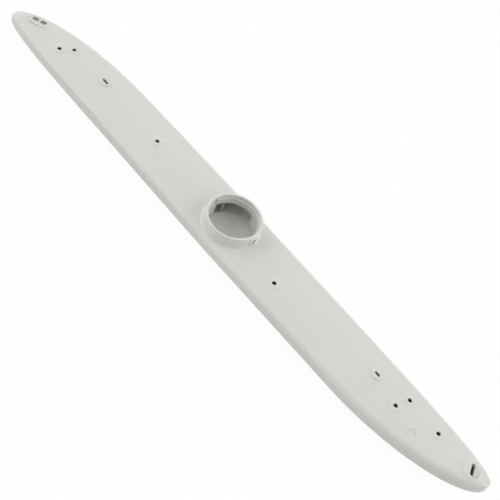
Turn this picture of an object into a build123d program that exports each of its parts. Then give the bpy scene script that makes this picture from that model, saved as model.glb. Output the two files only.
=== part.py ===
from build123d import *
from math import atan2, degrees, sqrt
import os

# A hollow dishwasher spray arm, moulded as two halves that are welded along the side.
# The spin axis is Z, the long axis is X, and the keel that it rests on is at z = 0.

# Heights, from the keel up
BELLY_DEPTH = 8.0          # keel to the weld seam
SKIRT_HEIGHT = 6.8         # weld seam to the top face at the arm's edge
CROWN_RISE = 1.6           # arch of the top face across the arm
COLLAR_HEIGHT = 9.2        # top face to the collar's rim

# Walls
PLATE = 2.0                # top face
WALL = 2.0                 # skirt and belly sides
FLOOR = 2.4                # belly floor at the keel
SEAM_STEP = 0.7            # the belly's side stands in from the skirt's

# Collar that the feed hub plugs into
BORE_RADIUS = 18.0
RIM_WALL = 2.6             # collar wall at the rim
LEAD_STEP = 0.8            # wider mouth of the bore
LEAD_DEPTH = 3.0
THROAT_DEPTH = 7.8         # rim to the end of the bore's straight wall
THROAT_FLARE = 0.9         # widening below that, for each millimetre down
COLLAR_DRAFT = 0.5         # growth of the outside from rim to foot
COLLAR_FILLET = 1.6        # at the foot
RIM_FLAT = 0.2             # between the rim's two rounded edges
WINDOW_WIDTH = 2.8         # snap windows through the collar wall
WINDOW_FROM_RIM = 1.4
WINDOW_FROM_FOOT = 0.3
WINDOW_ANGLE = 2.5         # off the long axis
BULGE_ROUND = 6.5          # bulges on the collar's outside, round the windows
BULGE_REACH = 22.0         # from the spin axis
BULGE_FROM_RIM = 0.7
BULGE_EDGE = 1.0           # rounding of its top

# Arm in plan
ARM_REACH = 242.4          # spin axis to the end of either arm
SHOULDER = 4.0             # top face between the collar's foot and the arm's edge
SWEEP_START = 130.5        # where the swept edge leaves its straight run
SWEEP_NARROWING = 2.5      # lost on the swept side before that
SWEEP_POWER = 1.76         # fullness of the swept edge
NOSE_START = 158.5         # where the straight edge starts to turn in
NOSE_POWER = 2.4           # fullness of that turn
TIP_OFFSET = 17.0          # end of the arm, off the long axis
TIP_FALL = 3.0             # fall of the top face at the end
TIP_ROUND = 12.0           # length of that fall
END_ROUND = 2.4            # edges of the end itself
TIP_SOLID = 7.0            # solid plastic behind the end

# Edge rounding of the top face
HUB_EDGE = 2.6             # beside the collar, both sides
STRAIGHT_EDGE = 1.3        # along the straight edge
SWEPT_EDGE = 4.4           # along the swept edge, near the arm's end
SOFTEN_START = 60.0        # where the swept edge starts to soften
SOFTEN_LENGTH = 140.0
END_EDGE = 2.4             # along the straight edge, at the arm's end
END_SOFTEN = 30.0          # length of that softening
ROUND_LIMIT = 0.3          # most that one rounding takes of the width it stands in
INNER_ROUND = 0.25         # least rounding inside, as a share of the one outside

# Belly
KEEL_TRIM = 0.8            # sliced off flat so that the arm can lie on it
KEEL_SHARE = 0.34          # flat width of the belly as a share of the arm's width
RIM_BAND = 2.0             # upright band under the seam
TIP_BELLY = 3.2            # depth of the belly at the arm's end
BELLY_ROUND = 5.0          # between the belly's side and floor

# Bowl under the collar, the curtains that hang over it and the ribs that part the flow
BOWL_RADIUS = 20.0
BOWL_LIP = 3.4             # lip over the floor
BOWL_DISH = 2.8            # hollow of the bowl below its lip
CURTAIN_SETBACK = 0.3      # from the bore's wall
CURTAIN_THICKNESS = 1.8
CURTAIN_START = -5.0       # off the long axis
CURTAIN_ARC = 90.0
RIB_THICKNESS = 1.6
RIB_START = 19.0           # inner end, along the long axis
RIB_LENGTH = 46.0
RIB_OFFSET = 11.4          # off the long axis
CLEARANCE = 0.6            # ribs and curtains to the bowl and the floor

# Jets, each in a low boss on the top face
BOSS_ROOT = 1.5            # depth of a boss's straight root in the top face
BOSS_FOOT = 0.1            # by which that root stands out of the face
JET_DIAMETER = 3.3
JET_BOSS = 9.0             # across the boss's foot
JET_BOSS_HEIGHT = 0.45
JET_BOSS_FLANK = 1.0       # run of the boss's sloped side
JET_LIP = 0.7              # what the relief below a hole leaves of the top face
JET_RELIEF = 1.2           # by which that relief stands out from the hole
FIRST_SLIT_LENGTH = 4.6
SECOND_SLIT_LENGTH = 6.4
SLIT_WIDTH = 2.2
SLIT_BOSS = 9.4
SLIT_BOSS_HEIGHT = 0.9
SLIT_BOSS_FLANK = 0.6
GATE_DIAMETER = 2.4        # moulding gate marks
GATE_DEPTH = 0.35
PIN_MARK = 6.0             # flat mark of an ejector pin
PIN_MARK_DEPTH = 0.3

# End jet of one arm: a slot at the foot of a ramp, in a round boss
END_BOSS = 14.6
END_BOSS_HEIGHT = 0.8
END_BOSS_FLANK = 0.9
END_BOSS_OFFSET = 1.9      # middle of the boss to the middle of the ramp
RAMP_LENGTH = 9.8
RAMP_WIDTH = 6.2
RAMP_DEPTH = 1.8           # fall across the ramp, towards the slot
RAMP_SILL = 0.15           # its shallow side, below the boss's top
END_SLOT_LENGTH = 9.2
END_SLOT_WIDTH = 3.0
END_SLOT_OFFSET = 2.0      # middle of the slot to the middle of the ramp
END_SLOT_ANGLE = -62.0     # off the long axis

# Side jet of the other arm: two pockets in a long boss
SIDE_BOSS_LENGTH = 16.8
SIDE_BOSS_WIDTH = 9.6
SIDE_BOSS_HEIGHT = 0.9
SIDE_BOSS_FLANK = 0.7
SIDE_BOSS_ANGLE = 27.9     # off the long axis
POCKET_LENGTH = 5.4
POCKET_WIDTH = 4.0
POCKET_DEPTH = 1.2
POCKET_SPACING = 6.5
POCKET_SLOT_LENGTH = 3.4   # through the pocket's floor, along its inner side
POCKET_SLOT_WIDTH = 0.6

# Places on an arm, as shares of its free length and of its width from the swept edge
FIRST_ARM_JETS = [(0.1301, 0.3598), (0.6528, 0.4548), (0.6658, 0.7174), (0.7929, 0.6517)]
FIRST_ARM_SLIT = (0.5461, 0.6109)
FIRST_ARM_END_JET = (0.9413, 0.5652)
FIRST_ARM_GATE = (0.1097, 0.5174)
FIRST_ARM_PIN = (0.7428, 0.2778)
SECOND_ARM_JETS = [(0.2755, 0.4789), (0.7437, 0.3965), (0.771, 0.6147)]
SECOND_ARM_SLIT = (0.572, 0.4403)
SECOND_ARM_SIDE_JET = (0.9104, 0.3753)
SECOND_ARM_GATE = (0.3247, 0.3868)

# Loft stations along an arm, as shares of its length
STATIONS = [
    0.125, 0.25, 0.375, 0.475, 0.56, 0.64, 0.71, 0.775,
    0.83, 0.88, 0.92, 0.95, 0.973, 0.988, 0.9965,
]
OVERSHOOT = 1.0            # by which cutting tools pass a face

# Derived heights and radii
seam_z = BELLY_DEPTH
edge_z = seam_z + SKIRT_HEIGHT
crown_z = edge_z + CROWN_RISE
rim_z = crown_z + COLLAR_HEIGHT
rim_radius = BORE_RADIUS + RIM_WALL
lead_radius = BORE_RADIUS + LEAD_STEP
rim_round = (RIM_WALL - LEAD_STEP - RIM_FLAT) / 2
foot_radius = rim_radius + COLLAR_DRAFT
half_width = foot_radius + SHOULDER
crown_radius = (half_width**2 + CROWN_RISE**2) / (2 * CROWN_RISE)
free_length = ARM_REACH - half_width


def straight_edge(x):
    """Distance of the straight edge from the long axis, x along the arm."""
    turn = max(0.0, (x - NOSE_START) / (ARM_REACH - NOSE_START))
    return half_width - (half_width - TIP_OFFSET) * (1 - (1 - turn**NOSE_POWER) ** (1 / NOSE_POWER))


def swept_edge(x):
    """Distance of the swept edge from the long axis, on the other side."""
    run = half_width - SWEEP_NARROWING * min(1.0, x / SWEEP_START)
    turn = max(0.0, (x - SWEEP_START) / (ARM_REACH - SWEEP_START))
    return run - (run + TIP_OFFSET) * (1 - (1 - turn**SWEEP_POWER) ** (1 / SWEEP_POWER))


def sides(x):
    """The walls' places across the arm at x, lowest y first, for either arm."""
    if x >= 0:
        return -swept_edge(x), straight_edge(x)
    return -straight_edge(-x), swept_edge(-x)


def settle(x, start, length):
    """Smooth share, from 0 to 1, of the way along a change that starts at x = start."""
    share = min(1.0, max(0.0, (abs(x) - start) / length))
    return share**2 * (3 - 2 * share)


def edge_rounds(x, width):
    """Rounding of the two top edges at x, lowest y first."""
    straight = HUB_EDGE + (STRAIGHT_EDGE - HUB_EDGE) * settle(x, 0.0, SOFTEN_LENGTH)
    straight += (END_EDGE - STRAIGHT_EDGE) * settle(x, ARM_REACH - END_SOFTEN, END_SOFTEN)
    swept = HUB_EDGE + (SWEPT_EDGE - HUB_EDGE) * settle(x, SOFTEN_START, SOFTEN_LENGTH)
    straight = min(straight, width * ROUND_LIMIT)
    swept = min(swept, width * ROUND_LIMIT)
    return (swept, straight) if x >= 0 else (straight, swept)


def crown(y):
    """Height of the arched top face at y, away from the arm's end."""
    return crown_z - crown_radius + sqrt(crown_radius**2 - y**2)


def tip_fall(x):
    """How far the top face has fallen at x by the rounding of the arm's end."""
    past = max(0.0, abs(x) - (ARM_REACH - TIP_ROUND)) / TIP_ROUND
    return TIP_FALL * (1 - sqrt(1 - past**2))


def keel_z(x):
    """Height of the belly's outside at x, before the keel is sliced flat."""
    return -KEEL_TRIM + (BELLY_DEPTH - TIP_BELLY + KEEL_TRIM) * (x / ARM_REACH) ** 2


def floor_z(x, y):
    """Height of the belly's inside at a place on its floor or side."""
    half = half_width - SEAM_STEP - WALL
    flat = half * KEEL_SHARE
    floor = keel_z(x) + FLOOR
    return floor + (seam_z - RIM_BAND - floor) * max(0.0, abs(y) - flat) / (half - flat)


def stations(length):
    """Places of the loft sections from end to end of an arm of this length."""
    arm = [length * share for share in STATIONS]
    return [-x for x in reversed(arm)] + [0.0] + arm


def place(share, turned):
    """Plan point of a jet from its shares along and across an arm."""
    x = half_width + free_length * share[0]
    y = -swept_edge(x) + (straight_edge(x) + swept_edge(x)) * share[1]
    return (-x, -y) if turned else (x, y)


def skirt_section(x, inset, drop, base):
    """One section of the upper half, inset from its outside."""
    low, high = sides(x)
    low_round, high_round = edge_rounds(x, high - low)
    low += inset
    high -= inset
    middle = (low + high) / 2
    fall = drop + tip_fall(x)
    with BuildSketch(Plane.YZ.offset(x)) as section:
        with BuildLine():
            Polyline((low, crown(low) - fall), (low, base), (high, base), (high, crown(high) - fall))
            ThreePointArc(
                (high, crown(high) - fall),
                (middle, crown(middle) - fall),
                (low, crown(low) - fall),
            )
        make_face()
        low_top = section.vertices().sort_by(Axis.X)[:2].sort_by(Axis.Y)[-1]
        fillet(low_top, radius=max(low_round - inset, low_round * INNER_ROUND))
        high_top = section.vertices().sort_by(Axis.X)[-2:].sort_by(Axis.Y)[-1]
        fillet(high_top, radius=max(high_round - inset, high_round * INNER_ROUND))
    return section.sketch.face()


def belly_section(x, inset, rise, top):
    """One section of the lower half, inset from its outside."""
    low, high = sides(x)
    low += inset
    high -= inset
    keel_low = low + (high - low) * (1 - KEEL_SHARE) / 2
    keel_high = high - (high - low) * (1 - KEEL_SHARE) / 2
    floor = keel_z(x) + rise
    with BuildSketch(Plane.YZ.offset(x)) as section:
        with BuildLine():
            Polyline(
                (low, top),
                (low, seam_z - RIM_BAND),
                (keel_low, floor),
                (keel_high, floor),
                (high, seam_z - RIM_BAND),
                (high, top),
                close=True,
            )
        make_face()
        keel_corners = section.vertices().sort_by(Axis.Y)[:2]
        fillet(keel_corners, radius=min(BELLY_ROUND, (keel_high - keel_low) * ROUND_LIMIT))
    return section.sketch.face()


def face_plane(point):
    """Plane that lies on the arched top face at a plan point."""
    y = point[1]
    normal = Vector(0, y, sqrt(crown_radius**2 - y**2))
    return Plane(origin=(*point, crown(y)), x_dir=(1, 0, 0), z_dir=normal)


def round_boss(plane, foot, height, flank):
    """Adds a round boss with a sloped side, rooted in the face that the plane lies on."""
    upright = (Align.CENTER, Align.CENTER, Align.MIN)
    with Locations(plane.offset(-BOSS_ROOT)):
        Cylinder(foot / 2, BOSS_ROOT + BOSS_FOOT, align=upright)
    with Locations(plane.offset(BOSS_FOOT)):
        Cone(foot / 2, foot / 2 - flank, height - BOSS_FOOT, align=upright)


def dish_ball(diameter, depth):
    """Radius of the ball that leaves a dish of this size in a flat face."""
    return (diameter**2 / 4 + depth**2) / (2 * depth)


# Places worked out from the shapes above
root_z = (crown(foot_radius) + crown_z - PLATE) / 2
window_height = COLLAR_HEIGHT - WINDOW_FROM_RIM - WINDOW_FROM_FOOT
window_z = crown_z + WINDOW_FROM_FOOT + window_height / 2
throat_z = rim_z - THROAT_DEPTH
throat_foot_z = crown(half_width - WALL) - PLATE
throat_foot = BORE_RADIUS + (throat_z - throat_foot_z) * THROAT_FLARE
bulge_height = COLLAR_HEIGHT - BULGE_FROM_RIM + PLATE / 2
bulge_axis = BULGE_REACH - BULGE_ROUND
window_sides = [Vector(1, 0, 0).rotate(Axis.Z, WINDOW_ANGLE + turn) for turn in (0.0, 180.0)]
curtain_sides = [Vector(1, 0, 0).rotate(Axis.Z, CURTAIN_START + turn) for turn in (0.0, 180.0)]
gate_ball = dish_ball(GATE_DIAMETER, GATE_DEPTH)
round_jets = [place(share, False) for share in FIRST_ARM_JETS]
round_jets += [place(share, True) for share in SECOND_ARM_JETS]
slit_jets = [
    (place(FIRST_ARM_SLIT, False), FIRST_SLIT_LENGTH),
    (place(SECOND_ARM_SLIT, True), SECOND_SLIT_LENGTH),
]
end_plane = face_plane(place(FIRST_ARM_END_JET, False)).rotated((0, 0, END_SLOT_ANGLE))
end_boss_plane = end_plane.shift_origin(end_plane.from_local_coords((0, -END_BOSS_OFFSET, 0)))
ramp_lean = degrees(atan2(RAMP_DEPTH, RAMP_WIDTH))
ramp_plane = end_plane.offset(END_BOSS_HEIGHT - RAMP_SILL - RAMP_DEPTH / 2).rotated((ramp_lean, 0, 0))
side_plane = face_plane(place(SECOND_ARM_SIDE_JET, True)).rotated((0, 0, SIDE_BOSS_ANGLE))
side_lean = degrees(atan2(SIDE_BOSS_FLANK, SIDE_BOSS_HEIGHT - BOSS_FOOT))
pockets = [(-POCKET_SPACING / 2, 0), (POCKET_SPACING / 2, 0)]
pocket_slot_offset = (POCKET_SLOT_WIDTH - POCKET_WIDTH) / 2
gate_marks = [place(FIRST_ARM_GATE, False), place(SECOND_ARM_GATE, True)]
pin_mark = place(FIRST_ARM_PIN, False)
cut_depth = PLATE + 2 * OVERSHOOT
lip_z = keel_z(0) + FLOOR + BOWL_LIP
bowl_z = lip_z - BOWL_DISH
bowl_ball = dish_ball(2 * BOWL_RADIUS, BOWL_DISH)
bowl_mid = (BOWL_RADIUS / 2, bowl_z + bowl_ball - sqrt(bowl_ball**2 - BOWL_RADIUS**2 / 4))
rib_middle = RIB_START + RIB_LENGTH / 2
rib_places = [(-rib_middle, RIB_OFFSET), (rib_middle, -RIB_OFFSET)]
rib_root_z = crown(RIB_OFFSET) - PLATE / 2
rib_foot_z = floor_z(rib_middle + RIB_LENGTH / 2, RIB_OFFSET + RIB_THICKNESS / 2) + CLEARANCE

# Bulge of the collar round one snap window, its top in the plane z = 0
with BuildPart() as bulge:
    Cylinder(BULGE_ROUND, bulge_height, align=(Align.CENTER, Align.CENTER, Align.MAX))
    fillet(bulge.edges().sort_by(Axis.Z)[-1], radius=BULGE_EDGE)

# Upper half: crowned top face with its skirt, the collar and the jets
with BuildPart() as upper_shell:
    loft([skirt_section(x, 0.0, 0.0, seam_z) for x in stations(ARM_REACH)])
    end_faces = upper_shell.faces().sort_by(Axis.X)
    for end_face in (end_faces[0], end_faces[-1]):
        fillet(end_face.edges().sort_by(Axis.Z)[1:], radius=END_ROUND)
    hollow_stations = stations(ARM_REACH - TIP_SOLID)
    hollow_sections = [skirt_section(x, WALL, PLATE, seam_z - OVERSHOOT) for x in hollow_stations]
    loft(hollow_sections, mode=Mode.SUBTRACT)

    # Collar, first as a plug rooted in the top face
    with BuildSketch(Plane.XZ):
        with BuildLine():
            Polyline(
                (0, root_z),
                (foot_radius, root_z),
                (rim_radius, rim_z),
                (0, rim_z),
                close=True,
            )
        make_face()
    revolve(axis=Axis.Z)
    collar_wall = upper_shell.faces().filter_by(GeomType.CONE)
    fillet(collar_wall.edges().sort_by(Axis.Z)[-1], radius=rim_round)
    foot_edges = upper_shell.faces().filter_by(GeomType.CONE).edges().sort_by(Axis.Z)
    fillet(foot_edges[0], radius=COLLAR_FILLET)

    # Bulges on the collar, half a turn apart
    with Locations(*[outward * bulge_axis + Vector(0, 0, rim_z - BULGE_FROM_RIM) for outward in window_sides]):
        add(bulge.part)

    # Bore with its wider mouth, flared below its straight wall
    with Locations((0, 0, rim_z)):
        CounterBoreHole(BORE_RADIUS, lead_radius, LEAD_DEPTH, depth=rim_z - seam_z)
    mouth = upper_shell.edges().filter_by(GeomType.CIRCLE).group_by(Axis.Z)[-1].sort_by(SortBy.RADIUS)[0]
    fillet(mouth, radius=rim_round)
    with Locations((0, 0, throat_z)):
        Cone(
            throat_foot,
            BORE_RADIUS,
            throat_z - throat_foot_z,
            align=(Align.CENTER, Align.CENTER, Align.MAX),
            mode=Mode.SUBTRACT,
        )

    # Curtains hung from the collar over two quarters of the bowl
    for outward in curtain_sides:
        with BuildSketch(Plane(origin=(0, 0, 0), x_dir=outward, z_dir=outward.cross(Vector(0, 0, 1)))):
            with Locations((BORE_RADIUS + CURTAIN_SETBACK, lip_z + CLEARANCE)):
                Rectangle(
                    CURTAIN_THICKNESS,
                    throat_z + OVERSHOOT - lip_z - CLEARANCE,
                    align=Align.MIN,
                )
        revolve(axis=Axis.Z, revolution_arc=CURTAIN_ARC)

    # Ribs that part the flow, hung from the top face on both sides of the collar
    with BuildSketch(Plane.XY.offset(rib_foot_z)):
        with Locations(*rib_places):
            Rectangle(RIB_LENGTH, RIB_THICKNESS)
    extrude(amount=rib_root_z - rib_foot_z)

    # Snap windows through the bulges and the collar wall
    for outward in window_sides:
        window_plane = Plane(origin=(0, 0, window_z), x_dir=(0, 0, 1), z_dir=outward)
        with BuildSketch(window_plane.offset(BORE_RADIUS - OVERSHOOT)):
            SlotOverall(window_height, WINDOW_WIDTH)
        extrude(amount=BULGE_REACH - BORE_RADIUS + 2 * OVERSHOOT, mode=Mode.SUBTRACT)

    # Round jets, each a hole in a low boss
    for jet in round_jets:
        round_boss(face_plane(jet), JET_BOSS, JET_BOSS_HEIGHT, JET_BOSS_FLANK)
        with Locations(face_plane(jet)):
            Cylinder(JET_DIAMETER / 2, 2 * cut_depth, mode=Mode.SUBTRACT)
        with Locations(face_plane(jet).offset(-JET_LIP)):
            Cylinder(
                JET_DIAMETER / 2 + JET_RELIEF,
                cut_depth,
                align=(Align.CENTER, Align.CENTER, Align.MAX),
                mode=Mode.SUBTRACT,
            )

    # Gate marks, a dimple beside the inner jet of each arm
    for mark in gate_marks:
        with Locations((*mark, crown(mark[1]) + gate_ball - GATE_DEPTH)):
            Sphere(gate_ball, mode=Mode.SUBTRACT)

    # Mark of an ejector pin
    with Locations(face_plane(pin_mark)):
        Cylinder(PIN_MARK / 2, 2 * PIN_MARK_DEPTH, mode=Mode.SUBTRACT)

    # Slit jets along the arm, in a boss that stands a little higher
    for jet, length in slit_jets:
        round_boss(face_plane(jet), SLIT_BOSS, SLIT_BOSS_HEIGHT, SLIT_BOSS_FLANK)
        with BuildSketch(face_plane(jet)):
            SlotOverall(length, SLIT_WIDTH)
        extrude(amount=cut_depth, both=True, mode=Mode.SUBTRACT)
        with BuildSketch(face_plane(jet).offset(-JET_LIP)):
            SlotOverall(length + 2 * JET_RELIEF, SLIT_WIDTH + 2 * JET_RELIEF)
        extrude(amount=-cut_depth, mode=Mode.SUBTRACT)

    # End jet of the first arm: the boss, the ramp sunk in it and the slot at the ramp's foot
    round_boss(end_boss_plane, END_BOSS, END_BOSS_HEIGHT, END_BOSS_FLANK)
    with BuildSketch(ramp_plane):
        SlotOverall(RAMP_LENGTH, RAMP_WIDTH)
    extrude(amount=RAMP_SILL + RAMP_DEPTH + OVERSHOOT, mode=Mode.SUBTRACT)
    with BuildSketch(end_plane):
        with Locations((0, -END_SLOT_OFFSET)):
            SlotOverall(END_SLOT_LENGTH, END_SLOT_WIDTH)
    extrude(amount=cut_depth, both=True, mode=Mode.SUBTRACT)

    # Side jet of the second arm: the long boss, its pockets and the slots in their floors
    with BuildSketch(side_plane.offset(BOSS_FOOT)) as side_foot:
        SlotOverall(SIDE_BOSS_LENGTH, SIDE_BOSS_WIDTH)
    extrude(side_foot.sketch, amount=-BOSS_ROOT - BOSS_FOOT)
    extrude(side_foot.sketch, amount=SIDE_BOSS_HEIGHT - BOSS_FOOT, taper=side_lean)
    with BuildSketch(side_plane.offset(SIDE_BOSS_HEIGHT)):
        with Locations(*pockets):
            SlotOverall(POCKET_LENGTH, POCKET_WIDTH)
    extrude(amount=-POCKET_DEPTH, mode=Mode.SUBTRACT)
    with BuildSketch(side_plane):
        with Locations((0, pocket_slot_offset)):
            with Locations(*pockets):
                SlotOverall(POCKET_SLOT_LENGTH, POCKET_SLOT_WIDTH)
    extrude(amount=-cut_depth, mode=Mode.SUBTRACT)

upper_shell.part.label = "upper_shell"

# Hollow of the lower half, which leaves the bowl under the collar standing
with BuildPart() as belly_hollow:
    inset = SEAM_STEP + WALL
    top = seam_z + OVERSHOOT
    loft([belly_section(x, inset, FLOOR, top) for x in stations(ARM_REACH - TIP_SOLID)])
    with BuildSketch(Plane.XZ):
        with BuildLine():
            Polyline((0, bowl_z), (0, -KEEL_TRIM), (BOWL_RADIUS, -KEEL_TRIM), (BOWL_RADIUS, lip_z))
            ThreePointArc((BOWL_RADIUS, lip_z), bowl_mid, (0, bowl_z))
        make_face()
    revolve(axis=Axis.Z, mode=Mode.SUBTRACT)

# Lower half: belly with a flat keel
with BuildPart() as lower_shell:
    loft([belly_section(x, SEAM_STEP, 0.0, seam_z) for x in stations(ARM_REACH - SEAM_STEP)])
    add(belly_hollow.part, mode=Mode.SUBTRACT)
    split(bisect_by=Plane.XY, keep=Keep.TOP)

lower_shell.part.label = "lower_shell"

os.makedirs("parts", exist_ok=True)
export_step(upper_shell.part, "parts/upper_shell.step")
export_step(lower_shell.part, "parts/lower_shell.step")
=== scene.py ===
"""Looks of a hollow dishwasher spray arm, moulded in light grey polypropylene.

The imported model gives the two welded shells. This script dresses them in a moulded plastic, lays them on a
white floor in a light tent and looks at them from the photograph's side.
"""

import logging
import math
from dataclasses import dataclass, field
from enum import Enum

import bpy
import numpy as np
from mathutils import Matrix, Vector

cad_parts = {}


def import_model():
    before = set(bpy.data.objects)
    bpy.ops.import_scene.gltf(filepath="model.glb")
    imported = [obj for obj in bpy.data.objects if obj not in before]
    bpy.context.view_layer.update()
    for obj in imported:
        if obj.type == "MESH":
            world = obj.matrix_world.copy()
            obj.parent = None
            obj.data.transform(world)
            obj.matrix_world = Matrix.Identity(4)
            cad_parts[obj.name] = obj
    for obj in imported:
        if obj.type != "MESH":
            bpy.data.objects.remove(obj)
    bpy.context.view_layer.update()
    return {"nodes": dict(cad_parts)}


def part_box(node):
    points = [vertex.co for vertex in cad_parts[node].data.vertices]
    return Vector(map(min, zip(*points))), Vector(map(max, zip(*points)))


LOG = logging.getLogger("spray_arm")
MM = 0.001
IMAGE_SIDE = 500
WHITE = (1.0, 1.0, 1.0, 1.0)

# Sockets of a colour Mix node, which share their names with its other types
MIX_SHARE = 0
MIX_FIRST = 6
MIX_SECOND = 7
MIX_RESULT = 2


class Shell(Enum):
    """The two welded mouldings, by their node names."""

    UPPER = "upper_shell"
    LOWER = "lower_shell"


def linear(colour: str) -> tuple[float, float, float, float]:
    """Turns an sRGB hex colour into linear light with full alpha.

    Args:
        colour: The colour as a hash sign and six hex digits.

    Returns:
        Red, green, blue and alpha, each from 0 to 1.
    """
    codes = np.array([int(colour[i:i + 2], 16) for i in (1, 3, 5)]) / 255.0
    light = np.where(codes <= 0.04045, codes / 12.92, ((codes + 0.055) / 1.055) ** 2.4)
    return (*(float(value) for value in light), 1.0)


def add_node(
    tree: bpy.types.NodeTree,
    kind: str,
    settings: dict[str, object] | None = None,
    inputs: dict[str | int, object] | None = None,
) -> bpy.types.Node:
    """Adds a node with its settings, values and links.

    Args:
        tree: The node tree that gets the node.
        kind: Blender's type name of the node.
        settings: Attributes of the node itself.
        inputs: Input sockets by name or number; an output socket is linked, and anything else is set
            as a value.

    Returns:
        The new node.
    """
    node = tree.nodes.new(kind)
    for name, value in (settings or {}).items():
        setattr(node, name, value)
    for name, value in (inputs or {}).items():
        if isinstance(value, bpy.types.NodeSocket):
            tree.links.new(value, node.inputs[name])
        else:
            node.inputs[name].default_value = value
    return node


@dataclass(frozen=True)
class MouldedPolypropylene:
    """Light grey polypropylene from a spark-eroded mould: matt, slightly waxy, with a fine even grain."""

    colour: str = "#D5D6D1"
    cloud_colour: str = "#D1D2CC"
    cloud_mm: float = 38.0
    cloud_detail: float = 3.0
    cloud_roughness: float = 0.55
    grain_mm: float = 0.9
    grain_height_mm: float = 0.012
    grain_detail: float = 2.0
    sink_mm: float = 26.0
    sink_height_mm: float = 0.05
    sink_detail: float = 1.0
    roughness: float = 0.5
    roughness_spread: float = 0.08
    ior: float = 1.49

    def material(self, name: str) -> bpy.types.Material:
        """Makes the plastic as a node material on Object coordinates.

        Args:
            name: The material's name.

        Returns:
            The new material.
        """
        material = bpy.data.materials.new(name)
        material.use_nodes = True
        tree = material.node_tree
        tree.nodes.clear()
        place = add_node(tree, "ShaderNodeTexCoord").outputs["Object"]
        clouds = add_node(
            tree,
            "ShaderNodeTexNoise",
            inputs={
                "Vector": place,
                "Scale": 1.0 / (self.cloud_mm * MM),
                "Detail": self.cloud_detail,
                "Roughness": self.cloud_roughness,
            },
        )
        colour = add_node(
            tree,
            "ShaderNodeMix",
            {"data_type": "RGBA"},
            {
                MIX_SHARE: clouds.outputs["Fac"],
                MIX_FIRST: linear(self.cloud_colour),
                MIX_SECOND: linear(self.colour),
            },
        )
        grain = add_node(
            tree,
            "ShaderNodeTexNoise",
            inputs={"Vector": place, "Scale": 1.0 / (self.grain_mm * MM), "Detail": self.grain_detail},
        )
        roughness = add_node(
            tree,
            "ShaderNodeMapRange",
            inputs={
                "Value": grain.outputs["Fac"],
                "To Min": self.roughness - self.roughness_spread,
                "To Max": self.roughness + self.roughness_spread,
            },
        )
        sinks = add_node(
            tree,
            "ShaderNodeTexNoise",
            inputs={"Vector": place, "Scale": 1.0 / (self.sink_mm * MM), "Detail": self.sink_detail},
        )
        waves = add_node(
            tree,
            "ShaderNodeBump",
            inputs={"Strength": 1.0, "Distance": self.sink_height_mm * MM, "Height": sinks.outputs["Fac"]},
        )
        bump = add_node(
            tree,
            "ShaderNodeBump",
            inputs={
                "Strength": 1.0,
                "Distance": self.grain_height_mm * MM,
                "Height": grain.outputs["Fac"],
                "Normal": waves.outputs["Normal"],
            },
        )
        plastic = add_node(
            tree,
            "ShaderNodeBsdfPrincipled",
            inputs={
                "Base Color": colour.outputs[MIX_RESULT],
                "Roughness": roughness.outputs["Result"],
                "IOR": self.ior,
                "Normal": bump.outputs["Normal"],
            },
        )
        add_node(tree, "ShaderNodeOutputMaterial", inputs={"Surface": plastic.outputs["BSDF"]})
        return material


@dataclass
class SprayArm:
    """The two welded shells as the frame gives them, dressed in plastic."""

    nodes: dict[str, bpy.types.Object]
    finish: MouldedPolypropylene = field(default_factory=MouldedPolypropylene)

    def dress(self) -> None:
        """Gives each shell its material."""
        for shell in Shell:
            piece = self.nodes[shell.value]
            piece.data.materials.clear()
            piece.data.materials.append(self.finish.material(f"moulded_polypropylene_{shell.value}"))
            LOG.info("%s dressed, %d faces", piece.name, len(piece.data.polygons))


@dataclass(frozen=True)
class PhotoView:
    """The camera that took the photograph, fitted to the arm's outline and the collar's rim."""

    azimuth: float = 28.061
    elevation: float = 48.839
    roll: float = 26.276
    focal_pixels: float = 1007.73
    distance_mm: float = 691.65
    rim_pixel: tuple[float, float] = (234.988, 216.087)
    sensor_mm: float = 36.0

    def axes(self) -> np.ndarray:
        """The camera's right, up and back directions.

        Returns:
            One direction per row.
        """
        turn, lift, roll = np.radians([self.azimuth, self.elevation, self.roll])
        back = np.array([np.sin(turn) * np.cos(lift), -np.cos(turn) * np.cos(lift), np.sin(lift)])
        level = np.array([np.cos(turn), np.sin(turn), 0.0])
        upright = np.cross(back, level)
        right = np.cos(roll) * level + np.sin(roll) * upright
        up = np.cos(roll) * upright - np.sin(roll) * level
        return np.stack([right, up, back])

    def place(self, rim_centre: Vector) -> None:
        """Makes the scene's camera so that the rim's centre falls on its pixel.

        Args:
            rim_centre: The centre of the collar's rim, in metres.
        """
        axes = self.axes()
        offset = (np.array(self.rim_pixel) - IMAGE_SIDE / 2) * self.distance_mm / self.focal_pixels
        seen = np.array([offset[0], -offset[1], -self.distance_mm]) * MM
        eye = np.array(rim_centre) - axes.T @ seen
        data = bpy.data.cameras.new("photo_view")
        data.sensor_width = self.sensor_mm
        data.lens = self.focal_pixels / IMAGE_SIDE * self.sensor_mm
        camera = bpy.data.objects.new("photo_view", data)
        turn = Matrix([[*axes[:, row], eye[row]] for row in range(3)] + [[0.0, 0.0, 0.0, 1.0]])
        camera.matrix_world = turn
        bpy.context.scene.collection.objects.link(camera)
        bpy.context.scene.camera = camera


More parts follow.
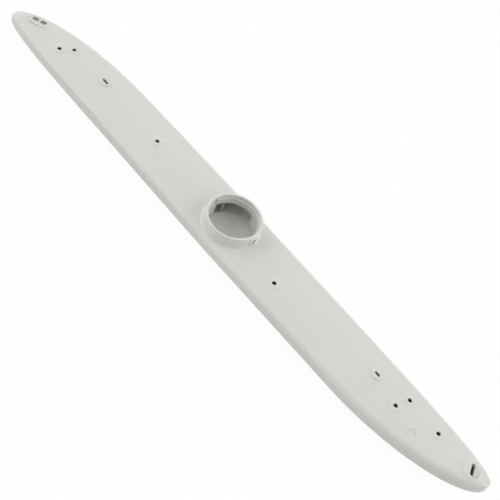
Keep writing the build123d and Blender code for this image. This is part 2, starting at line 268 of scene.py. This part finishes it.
@dataclass(frozen=True)
class Softbox:
    """A flat studio light that points at the arm and that only the arm and the floor see."""

    name: str
    azimuth: float
    elevation: float
    distance_m: float
    width_m: float
    height_m: float
    glow: float

    def hang(self) -> None:
        """Makes the light, whose power is its glow over half a sphere from its whole area."""
        turn, lift = np.radians([self.azimuth, self.elevation])
        way = Vector((math.sin(turn) * math.cos(lift), -math.cos(turn) * math.cos(lift), math.sin(lift)))
        data = bpy.data.lights.new(self.name, "AREA")
        data.shape = "RECTANGLE"
        data.size = self.width_m
        data.size_y = self.height_m
        data.energy = self.glow * math.pi * self.width_m * self.height_m
        light = bpy.data.objects.new(self.name, data)
        light.location = way * self.distance_m
        light.rotation_mode = "QUATERNION"
        light.rotation_quaternion = (-way).to_track_quat("-Z", "Y")
        light.visible_camera = False
        bpy.context.scene.collection.objects.link(light)


@dataclass(frozen=True)
class Studio:
    """A light tent on a white floor: lit walls left and right, a soft roof and a low strip behind the arm."""

    floor_side_m: float = 40.0
    floor_colour: str = "#F2F2F0"
    white_share: float = 0.95
    sky: float = 0.1
    softboxes: tuple[Softbox, ...] = (
        Softbox("left_wall", 298.0, 28.0, 4.0, 8.0, 3.9, 1.68),
        Softbox("right_wall", 118.0, 28.0, 4.0, 8.0, 3.9, 1.56),
        Softbox("roof", 28.0, 90.0, 4.0, 5.2, 5.2, 0.84),
        Softbox("far_strip", 208.0, 10.0, 4.0, 8.0, 1.38, 1.65),
    )

    @staticmethod
    def seen(tree: bpy.types.NodeTree) -> bpy.types.NodeSocket:
        """Tells the rays that show the background from those that carry its light.

        Args:
            tree: The node tree that asks.

        Returns:
            A socket that is 1 for camera, mirror and glass rays, and 0 for the rest.
        """
        path = add_node(tree, "ShaderNodeLightPath")
        mirrored = add_node(
            tree,
            "ShaderNodeMath",
            {"operation": "MAXIMUM"},
            {0: path.outputs["Is Glossy Ray"], 1: path.outputs["Is Transmission Ray"]},
        )
        shown = add_node(
            tree,
            "ShaderNodeMath",
            {"operation": "MAXIMUM"},
            {0: path.outputs["Is Camera Ray"], 1: mirrored.outputs["Value"]},
        )
        return shown.outputs["Value"]

    def floor_material(self) -> bpy.types.Material:
        """White paper that shows as white, with a little of the arm's shadow left on it.

        Returns:
            The new material.
        """
        material = bpy.data.materials.new("white_paper")
        material.use_nodes = True
        tree = material.node_tree
        tree.nodes.clear()
        paper = add_node(tree, "ShaderNodeBsdfDiffuse", inputs={"Color": linear(self.floor_colour)})
        white = add_node(tree, "ShaderNodeEmission", inputs={"Color": WHITE, "Strength": 1.0})
        share = add_node(
            tree,
            "ShaderNodeMath",
            {"operation": "MULTIPLY"},
            {0: self.seen(tree), 1: self.white_share},
        )
        mixed = add_node(
            tree,
            "ShaderNodeMixShader",
            inputs={0: share.outputs["Value"], 1: paper.outputs["BSDF"], 2: white.outputs["Emission"]},
        )
        add_node(tree, "ShaderNodeOutputMaterial", inputs={"Surface": mixed.outputs["Shader"]})
        return material

    def lay_floor(self) -> None:
        """Lays the floor at the keel's height."""
        half = self.floor_side_m / 2
        mesh = bpy.data.meshes.new("floor")
        corners = [(-half, -half, 0), (half, -half, 0), (half, half, 0), (-half, half, 0)]
        mesh.from_pydata(corners, [], [(0, 1, 2, 3)])
        mesh.materials.append(self.floor_material())
        floor = bpy.data.objects.new("floor", mesh)
        bpy.context.scene.collection.objects.link(floor)

    def light(self) -> None:
        """Sets the tent's dim front, which shows as white, and hangs the softboxes."""
        world = bpy.data.worlds.new("studio")
        world.use_nodes = True
        tree = world.node_tree
        tree.nodes.clear()
        strength = add_node(
            tree,
            "ShaderNodeMapRange",
            inputs={"Value": self.seen(tree), "To Min": self.sky, "To Max": 1.0},
        )
        sky = add_node(
            tree,
            "ShaderNodeBackground",
            inputs={"Color": WHITE, "Strength": strength.outputs["Result"]},
        )
        add_node(tree, "ShaderNodeOutputWorld", inputs={"Surface": sky.outputs["Background"]})
        bpy.context.scene.world = world
        for softbox in self.softboxes:
            softbox.hang()


def main() -> None:
    """Builds the scene from the frame up."""
    logging.basicConfig(level=logging.INFO, format="%(name)s: %(message)s")
    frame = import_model()
    scene = bpy.context.scene
    scene.view_settings.view_transform = "Standard"
    SprayArm(frame["nodes"]).dress()
    studio = Studio()
    studio.lay_floor()
    studio.light()
    PhotoView().place(Vector((0.0, 0.0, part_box(Shell.UPPER.value)[1].z)))


if __name__ == "__main__":
    main()
